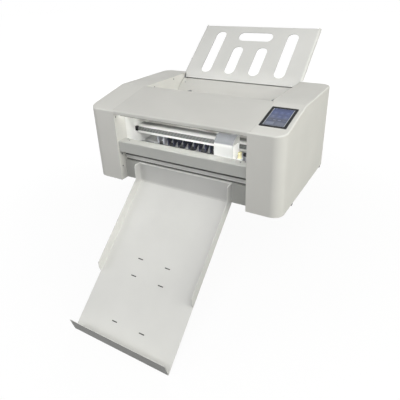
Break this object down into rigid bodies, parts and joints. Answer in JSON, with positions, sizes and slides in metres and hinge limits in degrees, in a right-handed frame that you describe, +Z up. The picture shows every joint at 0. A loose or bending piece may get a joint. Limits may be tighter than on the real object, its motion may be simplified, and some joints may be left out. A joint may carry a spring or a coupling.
{
  "type": "digital die cutting machine",
  "caption": "Sheet-fed die cutter with two end housings, a sloping top with a screen, a hinged feed tray, a blade carriage on a beam and a sloping output tray.",
  "frame": {"origin": "centre of the casing's footprint, on the underside of the base plate", "axes": "+X to the machine's right seen from the front, +Y to the back, +Z up"},
  "size_m": [0.67, 0.9884, 0.7773],
  "materials": {
    "casing_paint": "satin",
    "frame_paint": "satin",
    "bed_metal": "anodised",
    "steel": "ground",
    "alloy": "machined",
    "black_plastic": "moulded",
    "white_plastic": "moulded",
    "grey_plastic": "moulded",
    "rubber": "matte",
    "brass": "turned",
    "motor_paint": "satin",
    "board": "coated",
    "display_glass": "glossy"
  },
  "bodies": {
    "casing": {"left_housing": "casing_paint", "right_housing": "casing_paint", "top_cover": "casing_paint", "rear_cover": "casing_paint", "upper_front_panel": "casing_paint", "lower_front_panel": "casing_paint", "feed_plate": "casing_paint", "left_side_frame": "frame_paint", "right_side_frame": "frame_paint", "base_plate": "frame_paint", "front_bed": "bed_metal", "rear_bed": "bed_metal", "exit_guide": "bed_metal", "beam": "bed_metal", "feed_tray_pins": "steel", "guide_rail": "steel", "idler_bracket": "steel", "idler_pin": "steel", "carriage_motor_bracket": "steel", "pinch_bar": "steel", "pinch_axles": "steel", "power_supply": "steel", "usb_port": "steel", "beam_stops": "black_plastic", "pinch_holders": "black_plastic", "power_inlet": "black_plastic", "switch_frame": "black_plastic", "screen_bezel": "black_plastic", "cutting_strip": "white_plastic", "feet": "rubber", "carriage_belt": "rubber", "feed_belt": "rubber", "roller_bushings": "brass", "pick_bushings": "brass", "carriage_motor": "motor_paint", "feed_motor": "motor_paint", "pick_motor": "motor_paint", "control_board": "board", "display": "display_glass"},
    "feed_tray": {"feed_tray": "casing_paint"},
    "output_tray": {"output_tray": "casing_paint"},
    "carriage": {"bearing_block": "steel", "carriage_plate": "alloy", "carriage_cover": "white_plastic", "belt_clamp": "alloy"},
    "tool": {"tool_slide": "steel", "clamp_knob": "black_plastic", "blade_holder": "brass", "blade": "steel"},
    "drive_pulley": {"drive_pulley": "alloy"},
    "idler_pulley": {"idler_pulley": "alloy"},
    "drive_roller": {"drive_roller": "steel", "roller_pulley": "alloy"},
    "feed_motor_pulley": {"feed_motor_pulley": "alloy"},
    "pinch_rollers": {"pinch_rollers": "rubber"},
    "pick_roller": {"pick_shaft": "steel", "pick_tyres": "rubber"},
    "left_paper_guide": {"left_paper_guide": "grey_plastic"},
    "right_paper_guide": {"right_paper_guide": "grey_plastic"},
    "power_switch": {"power_switch": "black_plastic"}
  },
  "joints": [
    {"name": "feed_tray_fold", "type": "hinge", "parent": "casing", "child": "feed_tray", "pos_m": [0, 0.19356, 0.26722], "axis": [1, 0, 0], "range_deg": [0, 75]},
    {"name": "output_tray_lift", "type": "slide", "parent": "casing", "child": "output_tray", "axis": [0, 0, 1], "range_m": [0, 0.014]},
    {"name": "carriage_slide", "type": "slide", "parent": "casing", "child": "carriage", "axis": [1, 0, 0], "range_m": [-0.319, 0.033]},
    {"name": "tool_lift", "type": "slide", "parent": "carriage", "child": "tool", "axis": [0, 0, 1], "range_m": [-0.005, 0], "stiffness_N_per_m": 400, "springref_m": 0.006},
    {"name": "drive_pulley_turn", "type": "hinge", "parent": "casing", "child": "drive_pulley", "pos_m": [0.258, -0.0725, 0.166], "axis": [0, 1, 0], "range_deg": [-1760, 200]},
    {"name": "idler_pulley_turn", "type": "hinge", "parent": "casing", "child": "idler_pulley", "pos_m": [-0.258, -0.0725, 0.166], "axis": [0, 1, 0], "range_deg": [-1760, 200]},
    {"name": "drive_roller_turn", "type": "hinge", "parent": "casing", "child": "drive_roller", "pos_m": [0, -0.1015, 0.0923], "axis": [1, 0, 0], "continuous": true},
    {"name": "feed_motor_pulley_turn", "type": "hinge", "parent": "casing", "child": "feed_motor_pulley", "pos_m": [0.258, -0.0475, 0.048], "axis": [1, 0, 0], "continuous": true},
    {"name": "pinch_rollers_turn", "type": "hinge", "parent": "casing", "child": "pinch_rollers", "pos_m": [0, -0.1015, 0.1066], "axis": [1, 0, 0], "continuous": true},
    {"name": "pick_roller_turn", "type": "hinge", "parent": "casing", "child": "pick_roller", "pos_m": [0, 0.04422, 0.17174], "axis": [1, 0, 0], "continuous": true},
    {"name": "left_paper_guide_slide", "type": "slide", "parent": "casing", "child": "left_paper_guide", "axis": [1, 0, 0], "range_m": [0, 0.06]},
    {"name": "right_paper_guide_slide", "type": "slide", "parent": "casing", "child": "right_paper_guide", "axis": [1, 0, 0], "range_m": [-0.06, 0]},
    {"name": "power_switch_rock", "type": "hinge", "parent": "casing", "child": "power_switch", "pos_m": [0.105, 0.2215, 0.048], "axis": [1, 0, 0], "range_deg": [-16, 0]}
  ],
  "couplings": [
    {"joint": "drive_pulley_turn", "follows": "carriage_slide", "rad_per_m": 94.787},
    {"joint": "idler_pulley_turn", "follows": "carriage_slide", "rad_per_m": 94.787},
    {"joint": "feed_motor_pulley_turn", "follows": "drive_roller_turn", "ratio": 2},
    {"joint": "pinch_rollers_turn", "follows": "drive_roller_turn", "ratio": -1.3333}
  ]
}
